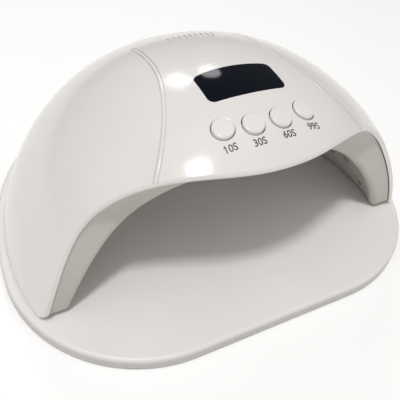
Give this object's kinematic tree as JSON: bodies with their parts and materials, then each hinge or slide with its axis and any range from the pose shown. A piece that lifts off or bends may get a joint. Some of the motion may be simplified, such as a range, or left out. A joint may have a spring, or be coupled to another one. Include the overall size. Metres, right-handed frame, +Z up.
{
  "type": "uv curing lamp",
  "caption": "Domed desktop gel curing lamp with an open front vault for a hand, a removable base tray, a smoked display window and round push buttons on top.",
  "frame": {"origin": "centre of the bounding box on the table, under the feet", "axes": "+Z up, +X to the right seen from the hand opening, which faces -Y"},
  "size_m": [0.22, 0.191, 0.0948],
  "materials": {
    "tray_plastic": "satin moulded ABS, fine grain",
    "shell_plastic": "high gloss moulded ABS, warm off-white",
    "housing_plastic": "satin moulded ABS",
    "button_plastic": "gloss moulded ABS",
    "window_plastic": "polished smoked acrylic",
    "foot_rubber": "matte moulded rubber",
    "magnet_metal": "nickel plated",
    "black_plastic": "matte moulded plastic",
    "header_plastic": "natural nylon",
    "green_board": "solder resist over glass epoxy",
    "white_board": "white solder resist on aluminium core",
    "steel_screw": "zinc plated steel",
    "contact_metal": "plated brass",
    "sensor_lens": "dark clear epoxy",
    "led_lens": "clear epoxy with a violet tint",
    "lead_jacket": "soft PVC jacket",
    "lead_jacket_dark": "soft PVC jacket"
  },
  "bodies": {
    "tray": {"base_tray": "tray_plastic", "tray_feet": "foot_rubber", "tray_magnets": "magnet_metal"},
    "head": {"outer_shell": "shell_plastic", "inner_housing": "housing_plastic", "display_window": "window_plastic", "display_module": "black_plastic", "control_board": "green_board", "board_screws": "steel_screw", "tact_switches": "black_plastic", "board_chips": "black_plastic", "board_headers": "header_plastic", "ir_emitter": "sensor_lens", "ir_receiver": "sensor_lens", "sensor_boards": "green_board", "head_magnets": "magnet_metal", "shell_screws": "steel_screw", "dc_jack": "black_plastic", "jack_pin": "contact_metal", "jack_nut": "steel_screw", "led_leads": "lead_jacket", "sensor_leads": "lead_jacket", "jack_lead": "lead_jacket_dark", "led_board_screws": "steel_screw", "led_board_top": "white_board", "led_board_right_shoulder": "white_board", "led_board_left_shoulder": "white_board", "led_board_right_side": "white_board", "led_board_left_side": "white_board", "led_board_rear": "white_board", "leds_top": "led_lens", "leds_right_shoulder": "led_lens", "leds_left_shoulder": "led_lens", "leds_right_side": "led_lens", "leds_left_side": "led_lens", "leds_rear": "led_lens"},
    "button_10s": {"button_10s": "button_plastic"},
    "button_30s": {"button_30s": "button_plastic"},
    "button_60s": {"button_60s": "button_plastic"},
    "button_99s": {"button_99s": "button_plastic"}
  },
  "joints": [
    {"name": "head_lift", "type": "slide", "parent": "tray", "child": "head", "axis": [0, 0, 1], "range_m": [0, 0.11]},
    {"name": "button_10s_press", "type": "slide", "parent": "head", "child": "button_10s", "axis": [0, 0.1392, -0.9903], "range_m": [0, 0.0005], "stiffness_N_per_m": 900, "springref_m": -0.0006},
    {"name": "button_30s_press", "type": "slide", "parent": "head", "child": "button_30s", "axis": [0, 0.1392, -0.9903], "range_m": [0, 0.0005], "stiffness_N_per_m": 900, "springref_m": -0.0006},
    {"name": "button_60s_press", "type": "slide", "parent": "head", "child": "button_60s", "axis": [0, 0.1392, -0.9903], "range_m": [0, 0.0005], "stiffness_N_per_m": 900, "springref_m": -0.0006},
    {"name": "button_99s_press", "type": "slide", "parent": "head", "child": "button_99s", "axis": [0, 0.1392, -0.9903], "range_m": [0, 0.0005], "stiffness_N_per_m": 900, "springref_m": -0.0006}
  ]
}
